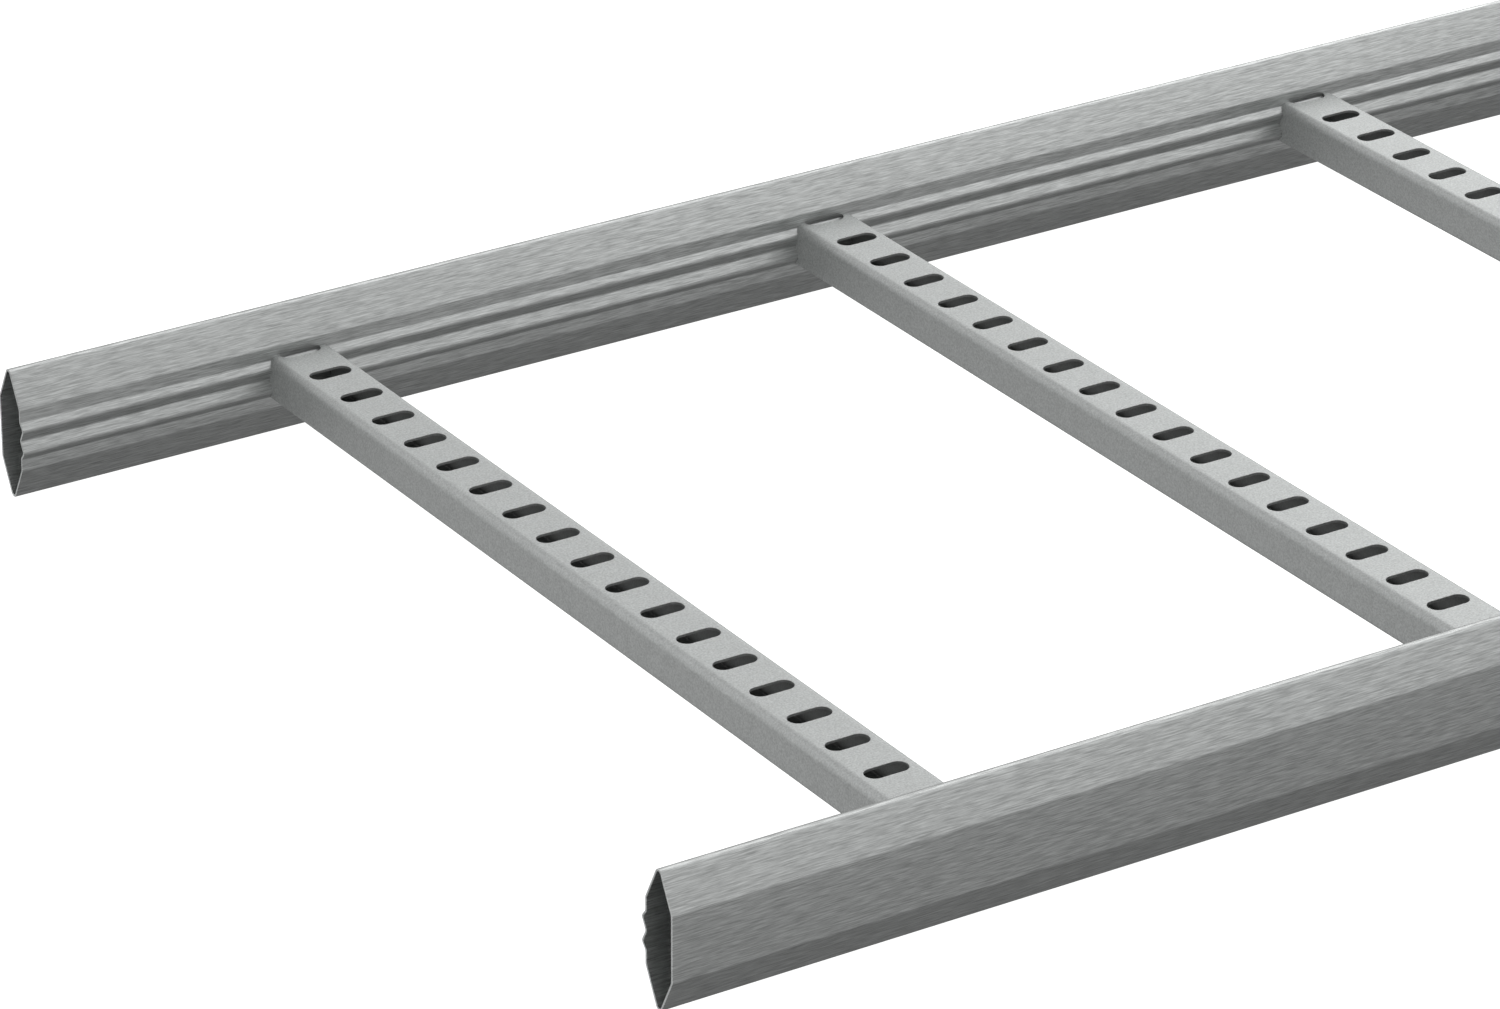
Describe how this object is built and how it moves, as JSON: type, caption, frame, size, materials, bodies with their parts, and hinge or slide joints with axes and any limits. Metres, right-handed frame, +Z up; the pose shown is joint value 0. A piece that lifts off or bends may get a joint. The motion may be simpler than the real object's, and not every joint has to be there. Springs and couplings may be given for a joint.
{
  "type": "cable ladder section",
  "caption": "Straight cable ladder section: two closed rolled-steel side rails joined by slotted channel rungs, for carrying and tying down electrical cables.",
  "frame": {"origin": "on the floor, under the middle of the section", "axes": "+X along the side rails, +Y across from the near rail to the far rail, +Z up"},
  "size_m": [3, 0.5, 0.055],
  "materials": {
    "rail_steel": "satin, brushed along the rail",
    "rung_steel": "matte, fine even grain"
  },
  "bodies": {
    "root": {"rail_near": "rail_steel", "rail_far": "rail_steel", "rung_01": "rung_steel", "rung_02": "rung_steel", "rung_03": "rung_steel", "rung_04": "rung_steel", "rung_05": "rung_steel", "rung_06": "rung_steel", "rung_07": "rung_steel", "rung_08": "rung_steel", "rung_09": "rung_steel", "rung_10": "rung_steel", "rung_11": "rung_steel", "rung_12": "rung_steel"}
  },
  "joints": []
}
